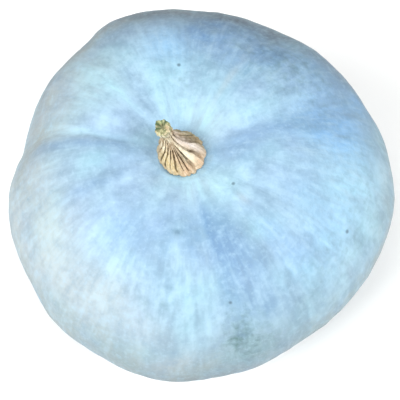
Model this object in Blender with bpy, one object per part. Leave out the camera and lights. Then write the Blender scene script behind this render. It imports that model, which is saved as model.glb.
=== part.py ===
# Hungarian blue pumpkin as picked: a broad fruit with ten shallow lobes, and its dried corky stem.
# Metres, +Z up. The origin is under the middle of the fruit, on the surface that it rests on.
# Bearings are in degrees round the stem, from +X towards +Y.

import bpy
import bmesh
from math import acos, asin, atan2, cos, exp, hypot, pi, radians, sin, tau

# The fruit before its grooves and its sunken stem end
FRUIT_WIDTH = 0.2635
DOME_HEIGHT = 0.182
SIDE_FULLNESS = 0.88      # 1 is an ellipse, less is fuller at the side
# it grew out of round: how many swellings go round it, how high each is, the bearing of one
SWELLINGS = ((1, 0.0115, 29), (2, 0.0012, 69), (3, 0.0034, 0), (4, 0.0019, 13), (5, 0.0009, -25))
SWELL_SPREAD = 1.3        # how far up and down the side the swellings reach, less is further

# The hollow at the stem end, and the flat seat in it that the stem grows from
HOLLOW_DEPTH = 0.020
HOLLOW_WIDTH = 0.044
SEAT_RADIUS = 0.0168

# The grooves between the lobes: bearing, depth
LOBE_GROOVES = (
    (24, 0.0056), (59, 0.0022), (87, 0.0025), (124, 0.0042), (166, 0.0060),
    (196, 0.0030), (240, 0.0030), (285, 0.0066), (311, 0.0026), (333, 0.0028),
)
LOBE_EASE = 2.6           # how sharply a groove's sides turn down to it
GROOVE_START = 0.019      # distance from the stem where the grooves begin
GROOVE_FULL = 0.055       # and where they reach their full depth
GROOVE_FADE = (radians(62), radians(105))   # down the side they grow shallower between these
GROOVE_LEFT = 0.30        # share of the depth that is left below that

# The underside: a small flat to rest on, with the blossom's scar in the middle
FLAT_HEIGHT = 0.0025      # how much of the dome's foot the flat takes off
FLAT_FADE = 0.6           # in radians, over which the grooves die out above the flat
SCAR_RADIUS = 0.009
SCAR_DEPTH = 0.0022
SCAR_NUB = 0.0012

# The stem
STEM_HEIGHT = 0.0278
STEM_PLACE = (0.0010, -0.0012)  # the middle of its foot, from the fruit's axis
STEM_FOOT = 0.0166        # radius where it sits on the fruit
STEM_NECK = 0.0047        # radius at its narrowest
STEM_NECK_AT = 0.82       # share of the height
STEM_TIP = 0.0054         # radius of the knob at its end
STEM_LEAN = (-0.0132, 0.0074)   # how far the tip stands away from the foot
LEAN_EASE = (0.92, 1.10)        # less than 1 leans more at the foot, more than 1 at the tip
STEM_GAP = 0.0003         # between the foot and its seat
FOOT_ROUND = 0.0016       # how far the foot's lower edge is rounded in
# The cracks between the cork ridges: bearing at the foot, depth
CORK_CRACKS = (
    (26, 0.0026), (52, 0.0020), (80, 0.0017), (108, 0.0017), (137, 0.0016), (165, 0.0016),
    (190, 0.0015), (212, 0.0018), (229, 0.0020), (246, 0.0015), (262, 0.0022), (280, 0.0014),
    (292, 0.0018), (310, 0.0026), (346, 0.0026),
)
CORK_EASE = 2.2
# the ridges fan out from the front of the neck: its bearing, how far they turn towards it, and where
FAN_BEARING = radians(288)
FAN_TURN = radians(38)
FAN_FROM = (0.15, 0.80)   # shares of the height
CRACK_AT_TIP = 0.35       # share of a crack's depth that is left at the tip
TIP_KNOTS = 5             # knots round the tip
KNOT_HEIGHT = 0.0009
TIP_DISH = 0.0010         # how far the broken end is hollowed

# How finely the two meshes are divided
LOBE_STEPS = 9            # meridians to a lobe
RIDGE_STEPS = 5           # meridians to a cork ridge
# the fruit's rings from the stem down: how many, and the angle from the stem where they end
HOLLOW_RINGS = 8
HOLLOW_END = radians(26)
SHOULDER_RINGS = 14
SHOULDER_END = radians(100)
BELLY_RINGS = 9
STEM_RINGS = 22

FRUIT_COLOUR = (0.46, 0.69, 0.84, 1.0)
STEM_COLOUR = (0.71, 0.52, 0.31, 1.0)


def smooth(low, high, value):
    """Rise from 0 at low to 1 at high with no corner at either end."""
    share = min(max((value - low) / (high - low), 0.0), 1.0)
    return share * share * (3 - 2 * share)


def bearing_and_dent(meridian, grooves, steps, ease):
    """Bearing of one meridian, with the depth there of the grooves on both sides of it."""
    first = meridian // steps
    share = (meridian % steps) / steps
    start, start_depth = grooves[first]
    end, end_depth = grooves[(first + 1) % len(grooves)]
    if end < start:
        end += 360
    dent = start_depth * (1 - share) ** ease + end_depth * share ** ease
    return radians(start + share * (end - start)), dent


def sphere_grid(mesh, meridians, rings):
    """A closed sphere in the mesh, with the meridian and the ring from the top of every vertex."""
    bmesh.ops.create_uvsphere(mesh, u_segments=meridians, v_segments=rings, radius=1.0)
    grid = []
    for vert in mesh.verts:
        meridian = round(atan2(vert.co.y, vert.co.x) / tau * meridians) % meridians
        ring = round(acos(max(-1.0, min(1.0, vert.co.z))) / pi * rings)
        grid.append((vert, meridian, ring))
    return grid


def dome_point(angle, swell):
    """Distance from the stem's axis and height of the dome, at an angle from its top."""
    out = (FRUIT_WIDTH / 2) * sin(angle) ** SIDE_FULLNESS + swell * sin(angle) ** SWELL_SPREAD
    return out, DOME_HEIGHT / 2 * (1 + cos(angle))


def fruit_point(angle, bearing, dent):
    """A point on the fruit's skin, with its grooves and its stem end."""
    swell = sum(size * cos(count * (bearing - radians(at))) for count, size, at in SWELLINGS)
    out, height = dome_point(angle, swell)
    step = 0.001
    above = dome_point(max(angle - step, 0.0), swell)
    below = dome_point(min(angle + step, pi), swell)
    run = below[0] - above[0]
    drop = above[1] - below[1]
    length = hypot(run, drop)

    depth = dent * smooth(GROOVE_START, GROOVE_FULL, out)
    depth *= 1 - (1 - GROOVE_LEFT) * smooth(*GROOVE_FADE, angle)
    depth *= smooth(0.0, FLAT_FADE, FLAT_ANGLE - angle)
    if angle < pi / 2:
        height -= HOLLOW_DEPTH * exp(-(out / HOLLOW_WIDTH) ** 2)
    out -= depth * drop / length
    height -= depth * run / length
    return out * cos(bearing), out * sin(bearing), max(height - FLAT_HEIGHT, 0.0)


# angles from the top of the dome at the seat's edge and at the flat's edge
SEAT_ANGLE = asin((SEAT_RADIUS / (FRUIT_WIDTH / 2)) ** (1 / SIDE_FULLNESS))
FLAT_ANGLE = acos(2 * FLAT_HEIGHT / DOME_HEIGHT - 1)
FRUIT_RINGS = 1 + HOLLOW_RINGS + SHOULDER_RINGS + BELLY_RINGS + 3


def ring_angle(ring):
    """Angle from the top of the dome of one of the fruit's rings, from the seat to the flat."""
    ring -= 1
    if ring <= HOLLOW_RINGS:
        return SEAT_ANGLE + (HOLLOW_END - SEAT_ANGLE) * ring / HOLLOW_RINGS
    ring -= HOLLOW_RINGS
    if ring <= SHOULDER_RINGS:
        return HOLLOW_END + (SHOULDER_END - HOLLOW_END) * ring / SHOULDER_RINGS
    ring -= SHOULDER_RINGS
    return SHOULDER_END + (FLAT_ANGLE - SHOULDER_END) * ring / BELLY_RINGS


def seat_height():
    """Height of the flat seat, which is that of the skin at its edge."""
    return fruit_point(SEAT_ANGLE, 0.0, 0.0)[2]


def make_fruit(name):
    """The fruit: a sphere whose rings are laid on the dome, from the seat down to the scar."""
    mesh = bmesh.new()
    seat = seat_height()
    for vert, meridian, ring in sphere_grid(mesh, len(LOBE_GROOVES) * LOBE_STEPS, FRUIT_RINGS):
        bearing, dent = bearing_and_dent(meridian, LOBE_GROOVES, LOBE_STEPS, LOBE_EASE)
        if ring == 0:
            vert.co = (0.0, 0.0, seat)
        elif ring == 1:
            vert.co = (SEAT_RADIUS * cos(bearing), SEAT_RADIUS * sin(bearing), seat)
        elif ring == FRUIT_RINGS:
            vert.co = (0.0, 0.0, SCAR_DEPTH - SCAR_NUB)
        elif ring == FRUIT_RINGS - 1:
            inner = SCAR_RADIUS / 2
            vert.co = (inner * cos(bearing), inner * sin(bearing), SCAR_DEPTH)
        elif ring == FRUIT_RINGS - 2:
            vert.co = (SCAR_RADIUS * cos(bearing), SCAR_RADIUS * sin(bearing), 0.0)
        else:
            vert.co = fruit_point(ring_angle(ring), bearing, dent)
    return finish(mesh, name, material("blue_bloomed_skin", FRUIT_COLOUR, 0.55))


def stem_radius(share):
    """Radius of the stem at a share of its height: a full foot, a neck and a knob."""
    if share < STEM_NECK_AT:
        return STEM_NECK + (STEM_FOOT - STEM_NECK) * (1 - smooth(0.0, STEM_NECK_AT, share))
    return STEM_NECK + (STEM_TIP - STEM_NECK) * smooth(STEM_NECK_AT, 0.5 * (1 + STEM_NECK_AT), share)


def make_stem(name):
    """The stem: a sphere whose rings climb a leaning line, cracked between its cork ridges."""
    mesh = bmesh.new()
    sides = STEM_RINGS - 2
    for vert, meridian, ring in sphere_grid(mesh, len(CORK_CRACKS) * RIDGE_STEPS, STEM_RINGS):
        bearing, dent = bearing_and_dent(meridian, CORK_CRACKS, RIDGE_STEPS, CORK_EASE)
        level = STEM_RINGS - ring
        share = min(max((level - 1) / sides, 0.0), 1.0)
        bearing -= FAN_TURN * smooth(*FAN_FROM, share) * sin(bearing - FAN_BEARING)
        radius = stem_radius(share) - dent * (1 - (1 - CRACK_AT_TIP) * share)
        radius += KNOT_HEIGHT * cos(TIP_KNOTS * bearing) * smooth(STEM_NECK_AT, 1.0, share)
        height = STEM_HEIGHT * share
        if level == 1:
            radius -= FOOT_ROUND
        if level == STEM_RINGS:
            height -= TIP_DISH
        if level in (0, STEM_RINGS):
            radius = 0.0
        vert.co = (
            radius * cos(bearing) + STEM_LEAN[0] * share ** LEAN_EASE[0],
            radius * sin(bearing) + STEM_LEAN[1] * share ** LEAN_EASE[1],
            height,
        )
    return finish(mesh, name, material("dried_cork", STEM_COLOUR, 0.8))


def material(name, colour, roughness):
    """A plain, non-metallic finish."""
    made = bpy.data.materials.new(name)
    made.use_nodes = True
    shader = made.node_tree.nodes["Principled BSDF"]
    shader.inputs["Base Color"].default_value = colour
    shader.inputs["Roughness"].default_value = roughness
    shader.inputs["Metallic"].default_value = 0.0
    made.diffuse_color = colour
    return made


def finish(mesh, name, finish_material):
    """Turn the working mesh into a named object, shaded smooth."""
    data = bpy.data.meshes.new(name)
    mesh.to_mesh(data)
    mesh.free()
    data.shade_smooth()
    data.materials.append(finish_material)
    return bpy.data.objects.new(name, data)


def middle(data):
    """Middle of a mesh seen from above."""
    xs = [vert.co.x for vert in data.vertices]
    ys = [vert.co.y for vert in data.vertices]
    return (min(xs) + max(xs)) / 2, (min(ys) + max(ys)) / 2


def main():
    for old in list(bpy.data.objects):
        bpy.data.objects.remove(old)
    parts = bpy.data.collections.new("hungarian_blue_pumpkin")
    bpy.context.scene.collection.children.link(parts)

    fruit = make_fruit("pumpkin_fruit")
    stem = make_stem("pumpkin_stem")
    across, along = middle(fruit.data)

    # both stand on the stem's axis, which is off the middle of the lopsided fruit
    axis = bpy.data.objects.new("stem_axis", None)
    axis.location = (-across, -along, 0.0)
    stem.location = (*STEM_PLACE, seat_height() + STEM_GAP)
    for part in (axis, fruit, stem):
        parts.objects.link(part)
    for part in (fruit, stem):
        part.parent = axis


main()
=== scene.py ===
# Hungarian blue pumpkin: the finish of its bloomed rind and of its dried corky stem.
# Everything is in metres, in the frame of the CAD model, with the photo taken from -Y and high up.
from math import cos, pi, radians, sin

import bpy
import numpy as np
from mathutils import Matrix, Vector, noise


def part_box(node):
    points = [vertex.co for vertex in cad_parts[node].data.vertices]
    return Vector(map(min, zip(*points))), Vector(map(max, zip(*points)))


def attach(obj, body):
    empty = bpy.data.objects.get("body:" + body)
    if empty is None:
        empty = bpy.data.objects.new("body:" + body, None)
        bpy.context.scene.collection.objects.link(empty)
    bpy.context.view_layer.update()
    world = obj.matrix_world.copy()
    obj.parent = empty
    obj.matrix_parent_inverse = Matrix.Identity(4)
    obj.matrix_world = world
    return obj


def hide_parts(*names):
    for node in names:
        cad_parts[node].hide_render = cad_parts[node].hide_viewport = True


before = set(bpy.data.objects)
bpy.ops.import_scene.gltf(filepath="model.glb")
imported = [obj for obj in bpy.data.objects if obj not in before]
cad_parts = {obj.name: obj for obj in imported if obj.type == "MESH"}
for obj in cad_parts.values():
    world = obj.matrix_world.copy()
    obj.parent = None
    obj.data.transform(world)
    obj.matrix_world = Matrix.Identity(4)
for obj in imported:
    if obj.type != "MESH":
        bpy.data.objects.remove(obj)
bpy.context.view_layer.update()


# the photo's view and the light

view = {
    "elevation": 68.0,                     # degrees above the horizon
    "distance": 0.95,
    "lookAt": (-0.0018, -0.0075, 0.090),
    "lens": 125.0,                         # mm, and so is the sensor
    "sensor": 36.0,
}

light = {
    "sky": "#FFFFFF",
    "skyStrength": 0.20,
    "aimAt": (0.0, 0.0, 0.08),             # where all the lamps point
    "lamps": {                             # name: (place, size, watts)
        "leftSide": ((-1.3, -0.7, 1.5), 1.3, 40.0),
        "rightSide": ((1.3, -0.55, 1.3), 0.8, 22.0),
        "overhead": ((0.0, -0.2, 2.2), 1.3, 18.0),
    },
}

floorLook = {
    "size": 9.0,
    "colour": "#FEFEFD",
    "roughness": 0.75,
}


def linear(hexColour):
    # an sRGB hex colour as the linear values that the shaders take
    values = [int(hexColour[i:i + 2], 16) / 255 for i in (1, 3, 5)]
    return tuple(v / 12.92 if v <= 0.04045 else ((v + 0.055) / 1.055) ** 2.4 for v in values) + (1.0,)


def addNode(tree, kind, inputs=None, output=0, **settings):
    # one shader node with its settings, its values and its links; gives back one of its outputs
    node = tree.nodes.new(kind)
    for name, value in settings.items():
        setattr(node, name, value)
    for name, value in (inputs or {}).items():
        if isinstance(value, bpy.types.NodeSocket):
            tree.links.new(value, node.inputs[name])
        else:
            node.inputs[name].default_value = value
    return node.outputs[output]


def newMaterial(name):
    made = bpy.data.materials.new(name)
    made.use_nodes = True
    return made, made.node_tree, made.node_tree.nodes["Principled BSDF"]


def setCamera():
    tilt = radians(view["elevation"])
    forward = Vector((0, cos(tilt), -sin(tilt)))
    camera = bpy.data.objects.new("photoCamera", bpy.data.cameras.new("photoCamera"))
    camera.data.sensor_width = view["sensor"]
    camera.data.lens = view["lens"]
    camera.location = Vector(view["lookAt"]) - forward * view["distance"]
    camera.rotation_euler = forward.to_track_quat("-Z", "Y").to_euler()
    bpy.context.scene.collection.objects.link(camera)
    bpy.context.scene.camera = camera


def setLight():
    world = bpy.data.worlds.new("studio")
    world.use_nodes = True
    background = world.node_tree.nodes["Background"]
    background.inputs["Color"].default_value = linear(light["sky"])
    background.inputs["Strength"].default_value = light["skyStrength"]
    bpy.context.scene.world = world
    for name, (place, size, watts) in light["lamps"].items():
        lamp = bpy.data.lights.new(name, "AREA")
        lamp.size = size
        lamp.energy = watts
        holder = bpy.data.objects.new(name, lamp)
        holder.location = place
        aim = Vector(light["aimAt"]) - holder.location
        holder.rotation_euler = aim.to_track_quat("-Z", "Y").to_euler()
        bpy.context.scene.collection.objects.link(holder)
    bpy.context.scene.view_settings.view_transform = "Standard"


def makeFloor():
    bpy.ops.object.select_all(action="DESELECT")
    bpy.ops.mesh.primitive_plane_add(size=floorLook["size"])
    floor = bpy.context.object
    floor.name = "paleFloor"
    paper, tree, shader = newMaterial("palePaper")
    shader.inputs["Base Color"].default_value = linear(floorLook["colour"])
    shader.inputs["Roughness"].default_value = floorLook["roughness"]
    floor.data.materials.append(paper)


setCamera()
setLight()
makeFloor()
print("camera, light and floor are set")


# what both pieces need: a finer copy of the CAD node, ways to move its points and to paint on them

meeting = {                   # where the stem stands on the fruit, found in the points of their CAD nodes
    "footHeight": 0.0001,     # the stem's foot lies no higher than this over its lowest point
    "seatWithin": 0.025,      # the fruit's flat seat lies within this of the foot's middle
    "seatHeight": 0.0005,     # and within this of the foot's height
}

patternStep = (7.31, -3.17, 5.77)    # any step that sets one random relief apart from the next

breaking = {                  # how a pattern breaks up a colour that is laid over the piece
    "patternLow": 0.35,       # from here in the pattern, where the colour has its least share,
    "patternHigh": 0.65,      # to here, where it has its most
    "leastShare": 0.35,
    "mostShare": 1.25,
}


def fineCopy(nodeName, pieceName, look):
    # the CAD node's mesh, merged back to one skin of quads, whatever their angles, and divided smoothly
    bpy.ops.object.select_all(action="DESELECT")
    piece = bpy.data.objects.new(pieceName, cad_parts[nodeName].data.copy())
    bpy.context.scene.collection.objects.link(piece)
    piece.data.materials.clear()
    piece.data.name = pieceName
    piece.select_set(True)
    bpy.context.view_layer.objects.active = piece
    bpy.ops.object.mode_set(mode="EDIT")
    bpy.ops.mesh.select_all(action="SELECT")
    bpy.ops.mesh.remove_doubles(threshold=look["mergeWithin"])
    bpy.ops.mesh.tris_convert_to_quads(face_threshold=pi, shape_threshold=pi)
    bpy.ops.object.mode_set(mode="OBJECT")
    if piece.data.has_custom_normals:
        bpy.ops.mesh.customdata_custom_splitnormals_clear()
    finer = piece.modifiers.new("finer", "SUBSURF")
    finer.levels = look["rounds"]
    finer.render_levels = look["rounds"]
    bpy.ops.object.modifier_apply(modifier=finer.name)
    bpy.ops.object.shade_smooth()
    return piece


def read(items, field, width):
    # one row for each of the items, with so many numbers
    values = np.empty(len(items) * width, np.float32)
    items.foreach_get(field, values)
    return values.reshape(-1, width).astype(float)


def putBack(piece, points):
    piece.data.vertices.foreach_set("co", points.astype(np.float32).ravel())
    piece.data.update()


def smooth(low, high, values):
    # from 0 at low to 1 at high, with no corner at either end
    share = np.clip((values - low) / (high - low), 0, 1)
    return share * share * (3 - 2 * share)


def relief(piece, rounds):
    # how far each point stands above the surface round it, evened out over so many rounds
    start = read(piece.data.vertices, "co", 3)
    normals = read(piece.data.vertices, "normal", 3)
    ends = np.empty(len(piece.data.edges) * 2, np.int32)
    piece.data.edges.foreach_get("vertices", ends)
    first, second = ends.reshape(-1, 2).T
    count = np.bincount(ends, minlength=len(start))
    even = start.copy()
    for _ in range(rounds):
        for axis in range(3):
            total = np.bincount(first, even[second, axis], len(start))
            total += np.bincount(second, even[first, axis], len(start))
            even[:, axis] = (even[:, axis] + total / count) / 2
    return ((start - even) * normals).sum(1)


def bumps(points, size, seed):
    # smooth random heights from about -0.5 to 0.5 at the points, with bumps of about that size
    shift = Vector([step * seed for step in patternStep])
    return np.array([noise.noise(Vector(point) / size + shift) for point in points])


def wrapped(bearing, along):
    # places for a pattern that closes on itself round the stem
    turn = np.radians(bearing)
    return np.stack([np.cos(turn), np.sin(turn), along], 1)


def moveOut(piece, heights, nodeName):
    # every point along its own normal, and none of them out of the CAD node's box
    points = read(piece.data.vertices, "co", 3)
    points += read(piece.data.vertices, "normal", 3) * heights[:, None]
    low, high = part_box(nodeName)
    putBack(piece, np.clip(points, np.array(low), np.array(high)))


def paint(piece, name, values):
    # one value per point, which the piece's material reads by that name
    layer = piece.data.attributes.new(name, "FLOAT", "POINT")
    layer.data.foreach_set("value", np.clip(values, 0, 1).astype(np.float32))


def turnTo(at, bearing):
    # degrees between two bearings, the shorter way round
    return np.abs((bearing - at + 180) % 360 - 180)


def cover(patches, bearing, level):
    # how much soft patches cover of each point together, each patch given by where it is, how far
    # it reaches both ways and how strong it is
    bare = np.ones(len(bearing))
    for at, height, wide, high, amount in patches:
        bare *= 1 - amount * np.exp(-(turnTo(at, bearing) / wide) ** 2 - ((level - height) / high) ** 2)
    return 1 - bare


def addLayers(tree, colour, layers, sources):
    # colours laid over one another, each where its source runs from one value to the other
    for name, start, full, strength, breaker in layers:
        source, over = sources[name]
        amount = addNode(tree, "ShaderNodeMapRange", {
            "Value": source, "From Min": start, "From Max": full, "To Min": 0.0, "To Max": strength})
        if breaker:
            broken = addNode(tree, "ShaderNodeMapRange", {
                "Value": sources[breaker][0],
                "From Min": breaking["patternLow"], "From Max": breaking["patternHigh"],
                "To Min": breaking["leastShare"], "To Max": breaking["mostShare"]})
            amount = addNode(tree, "ShaderNodeMath", {0: amount, 1: broken},
                             operation="MULTIPLY", use_clamp=True)
        # a Mix node takes its two colours at 6 and 7 and gives the mixed one at 2
        colour = addNode(tree, "ShaderNodeMix", {0: amount, 6: colour, 7: linear(over)}, 2, data_type="RGBA")
    return colour


# the fruit

fruit = {
    "rounds": 2,              # how often the CAD mesh is divided
    "mergeWithin": 0.00001,
    # two values in brackets say where something starts and where it's full, or gone
    "pleatDepth": 0.0010,     # soft folds round the stem
    "pleatsAround": 5.5,      # more gives narrower folds
    "pleatsAlong": 120.0,     # more gives longer folds
    "pleatsGrow": (0.018, 0.032),        # from the stem's axis
    "pleatsFade": (0.040, 0.080),
    "unevenDepth": 0.0020,    # the whole rind's slow rise and fall
    "unevenSize": 0.040,
    "unevenFrom": (0.030, 0.060),
    "dimpleDepth": 0.0004,
    "dimpleSize": 0.0085,
    "dimplesFrom": (0.020, 0.030),
    "collarAt": 0.0163,       # from the middle of the stem's foot, where the rind swells a little
    "collarWidth": 0.0013,
    "collarHeight": 0.0006,
    "collarSpread": 1.5,      # more carries its painted shade further than its swelling
    "reliefAbove": (0.004, 0.016),       # from the floor: what rests on it isn't moved
    "grooveRounds": 250,      # more finds wider grooves
    "grooveDepth": 0.0016,    # a groove this deep has its full colour
    "scarEdge": (0.006, 0.012),          # of the blossom scar, from the axis
    "undersideFrom": (92.0, 135.0),      # degrees down
    "streaksFrom": (16.0, 38.0),         # degrees down, with little of them before
    "streaksShare": (0.3, 0.7),          # near the stem and further out, read as a pattern's value

    "rind": "#8FAEC5",
    # soft patches of colour: bearing round the stem and angle down from straight up, how far the
    # patch reaches each way, all in degrees, and how strong it is
    "tints": {
        # grey on the flanks, and with it painted shade along the rim, where the rind turns away from the
        # light
        "flankGreyAndShade": ("#8E9896", ((0, 94, 999, 26, 0.8), (110, 62, 60, 7, 0.5), (0, 140, 999, 34, 0.6))),
        "whiteBloom": ("#BCC5C2", ((206, 44, 20, 12, 0.75), (228, 54, 22, 14, 0.6), (143, 34, 14, 9, 0.35),
                                   (200, 74, 10, 8, 0.6), (242, 47, 11, 8, 0.5), (258, 56, 12, 8, 0.35),
                                   (158, 39, 13, 8, 0.45), (140, 46, 9, 7, 0.4), (182, 72, 9, 8, 0.6),
                                   (60, 28, 2.5, 11, 0.5), (319, 20.5, 4, 2.2, 0.5),
                                   (170, 36, 4, 12, 0.5), (132, 39, 9, 8, 0.3),
                                   (56, 11, 32, 5, 0.45), (296, 11, 30, 5, 0.4), (232, 10, 26, 3, 0.15))),
        "warmGrey": ("#B5AFA6", ((195, 66, 34, 12, 0.4), (150, 54, 22, 8, 0.3), (222, 54, 20, 8, 0.25),
                                 (181, 43, 9, 11, 0.35), (268, 74, 16, 9, 0.25), (160, 63, 10, 8, 0.35))),
        "dullGrey": ("#98A09D", ((166, 54, 26, 14, 0.9), (212, 80, 34, 11, 0.5), (118, 58, 24, 8, 0.7),
                                 (262, 84, 26, 12, 0.4), (242, 67, 12, 7, 0.4), (185, 50, 8, 14, 0.25),
                                 (74, 49, 7, 9, 0.25))),
        "shadeGrey": ("#56646F", ((76, 53, 24, 9, 0.95), (104, 58, 16, 6, 0.5), (42, 63, 22, 9, 0.65),
                                  (135, 63, 20, 6, 0.45), (90, 58, 9, 4, 0.5), (29, 73, 9, 5, 0.4),
                                  (270, 98, 36, 10, 0.5), (212, 86, 10, 6, 0.35),
                                  (84, 84, 46, 20, 0.45))),
        # pale cyan bloom, and painted highlight on the lit side of some grooves
        "paleCyanAndHighlight": ("#ACD5E2", ((354, 49, 16, 14, 0.85), (140, 30, 12, 9, 0.6), (100, 26, 15, 10, 0.45),
                                 (330, 60, 14, 14, 0.5), (320, 17, 14, 6, 0.4), (275, 48, 8, 13, 0.4),
                                 (166, 26, 3, 9, 0.5), (33, 36, 5, 18, 0.45), (96, 15, 28, 7, 0.5),
                                 (134, 32, 2.5, 14, 0.75), (232, 34, 10, 7, 0.25),
                                 (279, 43, 5, 6, 0.35), (179, 34, 9, 8, 0.3),
                                 (308, 44, 4, 7, 0.5), (330, 48, 5, 4, 0.5), (310, 70, 5, 9, 0.35),
                                 (93, 46, 7, 7, 0.35), (60, 12, 24, 6, 0.75), (290, 12, 26, 7, 0.6))),
        "clearBlue": ("#7DB1E2", ((13, 44, 16, 14, 0.65), (98, 32, 12, 8, 0.35), (24, 62, 8, 11, 0.5),
                                  (332, 46, 22, 12, 0.3))),
        # periwinkle blue, and painted shade on the shaded side of some grooves and in the stem's shadow just
        # beside it
        "periwinkleAndShade": ("#6A91BB", ((60, 38, 20, 12, 0.7), (36, 52, 12, 12, 0.45), (82, 40, 12, 9, 0.75),
                                   (180, 18, 20, 7, 0.2), (262, 22, 16, 8, 0.3), (277, 26, 7, 7, 0.45),
                                   (236, 27, 18, 7, 0.4), (4, 15, 14, 6, 0.5), (16, 30, 6, 16, 0.5),
                                   (173, 32, 4, 18, 0.5), (202, 28, 3.5, 8, 0.45), (317, 34, 5, 14, 0.45),
                                   (341, 33, 9, 8, 0.3))),
        # deep slate blue in a wedge below the stem, partly the rind's own colour and partly painted shadow
        # of the stem and painted shade in the groove there
        "slateAndShade": ("#5B82A8", ((288, 25, 3.2, 9, 0.7), (291, 34, 5, 13, 0.65), (298, 27, 7, 11, 0.6),
                              (291, 20, 4, 4, 0.4), (292, 28, 5, 6, 0.25), (287, 42, 3, 8, 0.4),
                              (302, 38, 6, 7, 0.4), (300, 53, 6, 6, 0.5), (293, 49, 4, 5, 0.35))),
        "greyGreen": ("#6F8C92", ((296, 70, 15, 16, 0.5), (284, 84, 26, 8, 0.3), (290, 66, 4, 12, 0.8),
                                  (252, 76, 9, 15, 0.3))),
        "stain": ("#4A6C82", ((267, 23, 3.4, 0.8, 0.75), (50, 42.4, 2.6, 1.8, 0.6), (263, 45, 1.6, 3, 0.6),
                              (321, 18, 3, 1.5, 0.25), (264, 38.1, 2.2, 0.9, 0.4),
                              (289, 61.4, 1.8, 1.6, 0.5))),
        "speckled": ("#527271", ((289, 64, 7, 14, 1.0), (48, 42, 30, 12, 0.5), (338, 56, 30, 14, 0.3),
                                 (200, 66, 50, 18, 0.2), (262, 46, 12, 8, 0.25), (91, 21, 7, 4, 0.5),
                                 (321, 17, 6, 2, 0.5))),
    },
    # colours whose places follow from the shape, among them painted shade in a ring round the stem's foot
    # and a darker blue down in the grooves; "away" has none and only breaks up the streaks
    "areas": {"underside": "#8E9EA3", "groove": "#6F97BC", "collarAndShade": "#7B8784", "scar": "#A88C66",
              "away": None},
    # small dark scabs: bearing, angle down, radius in millimetres
    "scabs": ((92, 25.3, 1.2), (325, 16.8, 1.1), (337, 53.0, 1.3), (288, 46.0, 1.1)),
    "scabColour": "#43545F",
    "scabEdge": (1.4, 0.5),   # in radii from its middle
    "fleckSize": 4.762,       # of the pattern of bare specks, in millimetres
    "fleckDetail": 3.0,
    "fleckEdge": (0.48, 0.78),           # higher gives fewer and smaller specks
    # patterns: cells to a radian round the stem, size along it in millimetres, detail, and the
    # colours of their high and of their low parts
    "patterns": {
        "streaks": (4.5, 38.0, 3.0, "#B4D3E3", "#7591A7"),
        "fineStreaks": (17.0, 22.0, 2.0, "#B5D3E2", "#7992A5"),
        "clouds": (0.0, 22.0, 4.0, "#B2D2E3", "#7693A9"),
        "tinge": (0.0, 34.0, 1.0, "#98C8D0", "#9AB0D3"),
        "mottle": (0.0, 6.0, 3.0, "#AECEE1", "#7A97AC"),
        "dust": (0.0, 2.4, 2.0, "#AECEE1", "#7A97AC"),     # the real bloom is finer than the render can show
    },
    "patternRoughness": 0.6,
    # colours over the rind, from the bottom up: source, where it starts, where it's full, how much
    # of it, and the pattern that breaks it up
    "layers": (
        ("tinge", 0.50, 0.70, 0.45, None), ("tingeLow", 0.50, 0.30, 0.35, None),
        ("clouds", 0.50, 0.72, 0.7, None), ("cloudsLow", 0.50, 0.28, 0.65, None),
        ("streaks", 0.50, 0.72, 0.5, "away"), ("streaksLow", 0.50, 0.28, 0.5, "away"),
        ("flankGreyAndShade", 0.0, 1.0, 1.0, "clouds"), ("warmGrey", 0.0, 1.0, 1.1, "streaks"),
        ("whiteBloom", 0.0, 1.0, 0.85, None),
        ("dullGrey", 0.0, 1.0, 1.1, "clouds"), ("shadeGrey", 0.0, 1.0, 1.1, "streaks"),
        ("paleCyanAndHighlight", 0.0, 1.0, 1.1, "streaks"), ("clearBlue", 0.0, 1.0, 1.1, "streaks"),
        ("periwinkleAndShade", 0.0, 1.0, 1.1, "clouds"), ("slateAndShade", 0.0, 1.0, 0.95, None),
        ("greyGreen", 0.0, 1.0, 1.1, "mottle"), ("stain", 0.0, 1.0, 1.0, None),
        ("underside", 0.0, 1.0, 0.8, None), ("groove", 0.0, 1.0, 0.25, None),
        ("fineStreaks", 0.50, 0.75, 0.22, "away"), ("fineStreaksLow", 0.50, 0.25, 0.22, "away"),
        ("mottle", 0.50, 0.75, 0.35, None), ("mottleLow", 0.50, 0.25, 0.35, None),
        ("dust", 0.52, 0.75, 0.25, None), ("collarAndShade", 0.0, 1.0, 0.3, "mottle"),
        ("scar", 0.0, 1.0, 1.1, "mottle"), ("scabs", 0.0, 1.0, 0.65, None),
        ("flecks", 0.0, 1.0, 1.0, None),
    ),

    "ior": 1.40,              # about that of plant wax
    "specular": 0.30,
    "roughness": (0.48, 0.64),           # least and most
    "roughnessOver": (0.3, 0.7),         # between these values of the mottle
    "dustBump": (0.0004, 0.3),           # height and strength
    "skinBump": (0.0012, 0.4),
}


def stemFoot():
    # the middle of the stem's foot
    points = read(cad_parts["pumpkin_stem"].data.vertices, "co", 3)
    foot = points[points[:, 2] < points[:, 2].min() + meeting["footHeight"]]
    return (foot.min(0) + foot.max(0)) / 2


def stemSeat():
    # the middle of the round flat that the fruit has under its stem, which is on the fruit's own axis
    points = read(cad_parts["pumpkin_fruit"].data.vertices, "co", 3)
    apart = points - stemFoot()
    near = np.hypot(apart[:, 0], apart[:, 1]) < meeting["seatWithin"]
    edge = points[near & (np.abs(apart[:, 2]) < meeting["seatHeight"])]
    return (edge.min(0) + edge.max(0)) / 2


def aroundTheStem(points):
    # bearing and angle down of the points, in degrees, as on a ball squashed to the fruit's size,
    # and their distance from the stem's axis
    low, high = (np.array(corner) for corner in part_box("pumpkin_fruit"))
    half = (high - low) / 2
    across, along = (points[:, :2] - stemSeat()[:2]).T
    out = np.hypot(across, along)
    down = np.degrees(np.arctan2(out / half[:2].mean(), (points[:, 2] - half[2]) / half[2]))
    return np.degrees(np.arctan2(along, across)) % 360, down, out


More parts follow.
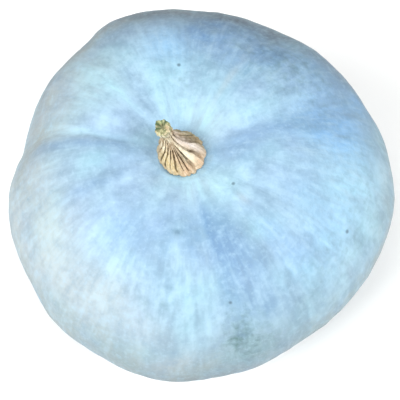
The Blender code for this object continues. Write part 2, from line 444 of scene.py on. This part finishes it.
def shapeFruit(piece):
    points = read(piece.data.vertices, "co", 3)
    bearing, down, out = aroundTheStem(points)
    onTop = down < 90
    pleated = smooth(*fruit["pleatsGrow"], out) * (1 - smooth(*fruit["pleatsFade"], out)) * onTop
    around = wrapped(bearing, down / fruit["pleatsAlong"])
    pleats = bumps(around, 1 / fruit["pleatsAround"], seed=1) * pleated
    uneven = bumps(points, fruit["unevenSize"], seed=2) * smooth(*fruit["unevenFrom"], out)
    dimples = bumps(points, fruit["dimpleSize"], seed=3) * smooth(*fruit["dimplesFrom"], out)
    fromFoot = np.hypot(*(points[:, :2] - stemFoot()[:2]).T)
    # a ring round the stem's foot: the rind swells a little there, and the same ring, carried further, is
    # painted with shade
    collarAndShade = np.exp(-((fromFoot - fruit["collarAt"]) / fruit["collarWidth"]) ** 2) * onTop

    heights = fruit["pleatDepth"] * pleats + fruit["unevenDepth"] * uneven
    heights += fruit["dimpleDepth"] * dimples + fruit["collarHeight"] * collarAndShade
    moveOut(piece, heights * smooth(*fruit["reliefAbove"], points[:, 2]), "pumpkin_fruit")
    paint(piece, "collarAndShade", collarAndShade * fruit["collarSpread"])


def paintFruit(piece):
    bearing, down, out = aroundTheStem(read(piece.data.vertices, "co", 3))
    for name, (tint, patches) in fruit["tints"].items():
        paint(piece, name, cover(patches, bearing, down))
    few, many = fruit["streaksShare"]
    paint(piece, "away", few + (many - few) * smooth(*fruit["streaksFrom"], down))
    paint(piece, "underside", smooth(*fruit["undersideFrom"], down))
    paint(piece, "scar", (down > 90) * (1 - smooth(*fruit["scarEdge"], out)))
    paint(piece, "groove", -relief(piece, fruit["grooveRounds"]) / fruit["grooveDepth"])


def addScabs(tree, place, piece):
    # how much of a scab there is at each place, from how far it is to their middles
    points = read(piece.data.vertices, "co", 3)
    bearing, down = aroundTheStem(points)[:2]
    start, full = fruit["scabEdge"]
    amount = 0.0
    for at, angle, radius in fruit["scabs"]:
        aside = turnTo(at, bearing) * np.sin(np.radians(down))
        middle = points[(aside ** 2 + (down - angle) ** 2).argmin()]
        apart = addNode(tree, "ShaderNodeVectorMath", {0: place, 1: middle.tolist()},
                        output="Value", operation="DISTANCE")
        inside = addNode(tree, "ShaderNodeMapRange", {
            "Value": apart, "From Min": start * radius / 1000, "From Max": full * radius / 1000})
        amount = addNode(tree, "ShaderNodeMath", {0: amount, 1: inside}, operation="MAXIMUM")
    return amount


def rindMaterial(piece):
    # the rind of a squash: hard and smooth under a dusty wax bloom, so it is blue-grey and nearly
    # matt, streaked from the stem down, and a clearer blue where the bloom was rubbed thin
    made, tree, shader = newMaterial("bloomedPumpkinRind")
    place = addNode(tree, "ShaderNodeTexCoord", output="Object")
    fromAxis = addNode(tree, "ShaderNodeVectorMath", {0: place, 1: tuple(stemSeat())}, operation="SUBTRACT")
    flat = addNode(tree, "ShaderNodeVectorMath", {0: fromAxis, 1: (1, 1, 0)}, operation="MULTIPLY")
    ray = addNode(tree, "ShaderNodeVectorMath", {0: flat}, operation="NORMALIZE")

    sources = {}
    for name, (around, size, detail, high, low) in fruit["patterns"].items():
        wide = addNode(tree, "ShaderNodeVectorMath", {0: ray, "Scale": around}, operation="SCALE")
        along = addNode(tree, "ShaderNodeVectorMath", {0: place, "Scale": 1000 / size}, operation="SCALE")
        seat = addNode(tree, "ShaderNodeVectorMath", {0: wide, 1: along}, operation="ADD")
        pattern = addNode(tree, "ShaderNodeTexNoise", {
            "Vector": seat, "Scale": 1.0, "Detail": detail, "Roughness": fruit["patternRoughness"]})
        sources[name] = (pattern, high)
        sources[name + "Low"] = (pattern, low)
    painted = {name: tint for name, (tint, patches) in fruit["tints"].items()} | fruit["areas"]
    for name, tint in painted.items():
        sources[name] = (addNode(tree, "ShaderNodeAttribute", output="Fac", attribute_name=name), tint)
    sources["scabs"] = (addScabs(tree, place, piece), fruit["scabColour"])

    # specks of bare dark green in the speckled patches, where the bloom flaked off
    fleck = addNode(tree, "ShaderNodeTexNoise", {
        "Vector": place, "Scale": 1000 / fruit["fleckSize"], "Detail": fruit["fleckDetail"]})
    start, full = fruit["fleckEdge"]
    sharp = addNode(tree, "ShaderNodeMapRange", {"Value": fleck, "From Min": start, "From Max": full})
    speckled, speckColour = sources["speckled"]
    flaked = addNode(tree, "ShaderNodeMath", {0: sharp, 1: speckled}, operation="MULTIPLY")
    sources["flecks"] = (flaked, speckColour)
    colour = addLayers(tree, linear(fruit["rind"]), fruit["layers"], sources)
    tree.links.new(colour, shader.inputs["Base Color"])

    mottle, dust = sources["mottle"][0], sources["dust"][0]
    low, high = fruit["roughnessOver"]
    least, most = fruit["roughness"]
    rough = addNode(tree, "ShaderNodeMapRange", {
        "Value": mottle, "From Min": low, "From Max": high, "To Min": least, "To Max": most})
    tree.links.new(rough, shader.inputs["Roughness"])
    shader.inputs["IOR"].default_value = fruit["ior"]
    shader.inputs["Specular IOR Level"].default_value = fruit["specular"]
    height, strength = fruit["dustBump"]
    dusty = addNode(tree, "ShaderNodeBump", {"Height": dust, "Distance": height, "Strength": strength})
    height, strength = fruit["skinBump"]
    skin = addNode(tree, "ShaderNodeBump", {
        "Height": mottle, "Distance": height, "Strength": strength, "Normal": dusty})
    tree.links.new(skin, shader.inputs["Normal"])
    return made


def makeFruit():
    piece = fineCopy("pumpkin_fruit", "fruitRind", fruit)
    shapeFruit(piece)
    paintFruit(piece)
    piece.data.materials.append(rindMaterial(piece))
    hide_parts("pumpkin_fruit")
    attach(piece, "root")
    return piece


# the stem

stem = {
    "rounds": 2,
    "mergeWithin": 0.00001,
    "slices": 15,             # places along it where its leaning middle line is found
    "sliceReach": 0.04,       # of the height, how far up and down a slice is taken
    # two values in brackets say where something starts and where it's full
    "crackRounds": 60,        # more finds wider cracks
    "crackEdge": (-0.00001, 0.00010),    # how far below the ridges round it
    "crackDepth": 0.0011,     # how much deeper the cracks are cut
    "fibreDepth": 0.00050,
    "fibresAround": 9.0,      # more gives narrower fibres
    "fibresAlong": 0.5,       # more gives shorter ones
    "lumpDepth": 0.0013,
    "lumpSize": 0.0019,
    "lumpsBelowKnob": 0.3,    # of their depth
    "knobFrom": (0.65, 0.90),            # of the height
    "pitSize": 0.0018,
    "pitEdge": (0.05, 0.30),  # higher gives fewer and smaller pits
    "pitsFrom": (0.86, 0.95),            # of the height
    "touchBelow": 0.06,       # of the height: the foot has no relief and is let down onto the fruit

    "cork": "#C0A98A",
    # soft patches: bearing round the leaning middle line in degrees and height in percent, how far
    # the patch reaches each way, and how strong it is
    "tints": {
        # pale pink-white on the ridges at the right, partly painted highlight where the light falls on them
        "pinkWhiteAndHighlight": ("#F4E8E0", ((3, 42, 18, 28, 1.0), (340, 62, 18, 12, 0.7), (40, 66, 16, 10, 0.5))),
        "cream": ("#F2EBD0", ((322, 36, 16, 20, 0.95), (310, 60, 20, 12, 0.6), (262, 90, 60, 9, 0.95),
                              (230, 78, 22, 12, 0.7), (285, 77, 40, 7, 0.8), (214, 56, 26, 8, 0.8),
                              (305, 38, 8, 10, 0.8))),
        "peach": ("#D6B290", ((332, 14, 22, 12, 0.9), (300, 22, 12, 10, 0.8), (280, 12, 14, 9, 0.6))),
        "straw": ("#D6C592", ((240, 34, 22, 22, 0.8), (215, 30, 14, 18, 0.5), (262, 20, 12, 16, 0.5))),
        # olive, partly painted shade: over the far side and the left, along the foot's lower left edge and
        # in a band on the upper right
        "oliveAndShade": ("#8A8560", ((90, 30, 60, 40, 0.8), (60, 8, 40, 14, 0.6), (225, 3, 42, 6, 0.9),
                              (180, 25, 25, 30, 0.5), (44, 22, 15, 16, 0.85))),
        "greenEnd": ("#B9C08C", ((110, 100, 110, 11, 1.0), (270, 101, 90, 6, 0.6))),
        # dark brown in some cracks, and painted shade in a band along the upper right of the stem
        "cleftAndShade": ("#5A4B30", ((358, 71, 9, 4, 0.6), (14, 59, 10, 5, 0.7), (20, 48, 8, 6, 0.95),
                              (27, 38, 7, 7, 0.9), (34, 25, 6, 9, 0.7), (16, 14, 8, 6, 0.45),
                              (345, 32, 6, 8, 0.75), (350, 19, 6, 6, 0.55), (326, 48, 7, 3, 0.35),
                              (287, 47, 5, 6, 0.6), (296, 40, 4, 6, 0.8), (302, 31, 4, 6, 0.8),
                              (307, 21, 4, 6, 0.6))),
        "darkGreen": ("#3B5634", ((150, 99, 17, 8, 1.0), (192, 98, 17, 8, 1.0), (75, 99, 14, 6, 1.0),
                                  (108, 100, 12, 5, 0.8))),
    },
    # colours whose places follow from the shape
    "areas": {"crack": "#44341B", "pits": "#4A5A30"},
    "crackColour": 0.4,       # how much of it every crack has
    "darkCrackColour": 1.2,   # and how much more it has in these patches, given as those above
    "darkCracks": ((24, 42, 16, 34, 0.3), (62, 24, 16, 34, 0.9), (340, 34, 9, 12, 0.5),
                   (303, 38, 10, 18, 0.35), (257, 36, 12, 22, 0.5), (285, 26, 8, 14, 0.7),
                   (220, 24, 16, 26, 0.4)),
    "crackLoss": 0.7,         # how much of it the cracks lose towards the tip
    "crackLossFrom": (0.50, 0.85),       # of the height
    # patterns: cells to a radian round the stem and along its height, or else size in millimetres,
    # detail, and the colours of their high and of their low parts
    "patterns": {
        "fibres": (9.0, 1.6, 0.0, 3.0, "#EEE3CC", "#8E7148"),
        "grain": (0.0, 0.0, 1.5, 3.0, "#EEE3CC", "#8E7148"),
        "knots": (0.0, 0.0, 3.4, 1.0, None, None),         # only breaks up other colours
    },
    "patternRoughness": 0.65,
    # as for the rind
    "layers": (
        ("straw", 0.0, 1.0, 1.0, None), ("cream", 0.0, 1.0, 1.0, None), ("pinkWhiteAndHighlight", 0.0, 1.0, 1.0, None),
        ("peach", 0.0, 1.0, 1.0, "grain"), ("oliveAndShade", 0.0, 1.0, 1.0, "fibres"),
        ("greenEnd", 0.0, 1.0, 1.0, "knots"),
        ("fibres", 0.52, 0.72, 0.5, None), ("fibresLow", 0.46, 0.28, 0.6, None),
        ("grain", 0.52, 0.75, 0.4, None), ("grainLow", 0.46, 0.28, 0.5, None),
        ("crack", 0.0, 1.0, 0.95, "knots"), ("cleftAndShade", 0.0, 1.0, 0.9, None),
        ("pits", 0.0, 1.0, 0.5, None), ("darkGreen", 0.0, 1.0, 0.95, None),
    ),

    "roughness": 0.85,
    "ribBump": (0.0008, 0.6),            # height and strength
    "grainBump": (0.0004, 0.6),
}


def alongTheStem(points):
    # bearing in degrees round the stem's leaning middle line, and share of its height
    low, high = points[:, 2].min(), points[:, 2].max()
    share = (points[:, 2] - low) / (high - low)
    slices = np.linspace(0, 1, stem["slices"])
    middles = []
    for at in slices:
        ring = points[np.abs(share - at) < stem["sliceReach"]]
        middles.append((ring.min(0) + ring.max(0)) / 2)
    middles = np.array(middles)
    across = points[:, 0] - np.interp(share, slices, middles[:, 0])
    along = points[:, 1] - np.interp(share, slices, middles[:, 1])
    return np.degrees(np.arctan2(along, across)) % 360, share


def shapeStem(piece, bearing, share, crack):
    points = read(piece.data.vertices, "co", 3)
    fibres = bumps(wrapped(bearing, share * stem["fibresAlong"]), 1 / stem["fibresAround"], seed=4)
    below = stem["lumpsBelowKnob"]
    lumpy = below + (1 - below) * smooth(*stem["knobFrom"], share)
    lumps = bumps(points, stem["lumpSize"], seed=5) * lumpy
    heights = stem["fibreDepth"] * fibres + stem["lumpDepth"] * lumps - stem["crackDepth"] * crack
    aboveFoot = smooth(0.0, stem["touchBelow"], share)
    moveOut(piece, heights * aboveFoot, "pumpkin_stem")

    # the foot is let down the last fraction of a millimetre, so that it stands on its seat
    gap = points[:, 2].min() - stemSeat()[2]
    moved = read(piece.data.vertices, "co", 3)
    moved[:, 2] -= gap * (1 - aboveFoot)
    putBack(piece, moved)


def paintStem(piece, bearing, share, crack):
    points = read(piece.data.vertices, "co", 3)
    level = share * 100
    for name, (tint, patches) in stem["tints"].items():
        paint(piece, name, cover(patches, bearing, level))
    amount = stem["crackColour"] + stem["darkCrackColour"] * cover(stem["darkCracks"], bearing, level)
    paint(piece, "crack", crack * amount * (1 - stem["crackLoss"] * smooth(*stem["crackLossFrom"], share)))
    pits = smooth(*stem["pitEdge"], bumps(points, stem["pitSize"], seed=6))
    paint(piece, "pits", pits * smooth(*stem["pitsFrom"], share))
    layer = piece.data.attributes.new("round", "FLOAT_VECTOR", "POINT")
    layer.data.foreach_set("vector", wrapped(bearing, share).astype(np.float32).ravel())


def corkMaterial():
    # cork that dried on the vine: pale and dry on its ridges, brown down in the cracks between
    # them, ribbed along, and still a little green at the broken end
    made, tree, shader = newMaterial("driedStemCork")
    place = addNode(tree, "ShaderNodeTexCoord", output="Object")
    turned = addNode(tree, "ShaderNodeAttribute", output="Vector", attribute_name="round")
    sources = {}
    for name, (around, along, size, detail, high, low) in stem["patterns"].items():
        if around:
            seat = addNode(tree, "ShaderNodeVectorMath", {0: turned, 1: (around, around, along)},
                           operation="MULTIPLY")
        else:
            seat = addNode(tree, "ShaderNodeVectorMath", {0: place, "Scale": 1000 / size}, operation="SCALE")
        pattern = addNode(tree, "ShaderNodeTexNoise", {
            "Vector": seat, "Scale": 1.0, "Detail": detail, "Roughness": stem["patternRoughness"]})
        sources[name] = (pattern, high)
        sources[name + "Low"] = (pattern, low)
    painted = {name: tint for name, (tint, patches) in stem["tints"].items()} | stem["areas"]
    for name, tint in painted.items():
        sources[name] = (addNode(tree, "ShaderNodeAttribute", output="Fac", attribute_name=name), tint)
    colour = addLayers(tree, linear(stem["cork"]), stem["layers"], sources)
    tree.links.new(colour, shader.inputs["Base Color"])

    shader.inputs["Roughness"].default_value = stem["roughness"]
    height, strength = stem["ribBump"]
    ribs = addNode(tree, "ShaderNodeBump", {
        "Height": sources["fibres"][0], "Distance": height, "Strength": strength})
    height, strength = stem["grainBump"]
    grainy = addNode(tree, "ShaderNodeBump", {
        "Height": sources["grain"][0], "Distance": height, "Strength": strength, "Normal": ribs})
    tree.links.new(grainy, shader.inputs["Normal"])
    return made


def makeStem():
    piece = fineCopy("pumpkin_stem", "corkStem", stem)
    bearing, share = alongTheStem(read(piece.data.vertices, "co", 3))
    crack = smooth(*stem["crackEdge"], -relief(piece, stem["crackRounds"]))
    paintStem(piece, bearing, share, crack)
    shapeStem(piece, bearing, share, crack)
    piece.data.materials.append(corkMaterial())
    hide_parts("pumpkin_stem")
    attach(piece, "root")
    return piece


fruitPiece = makeFruit()
print("fruit:", len(fruitPiece.data.polygons), "faces")
stemPiece = makeStem()
print("stem:", len(stemPiece.data.polygons), "faces")
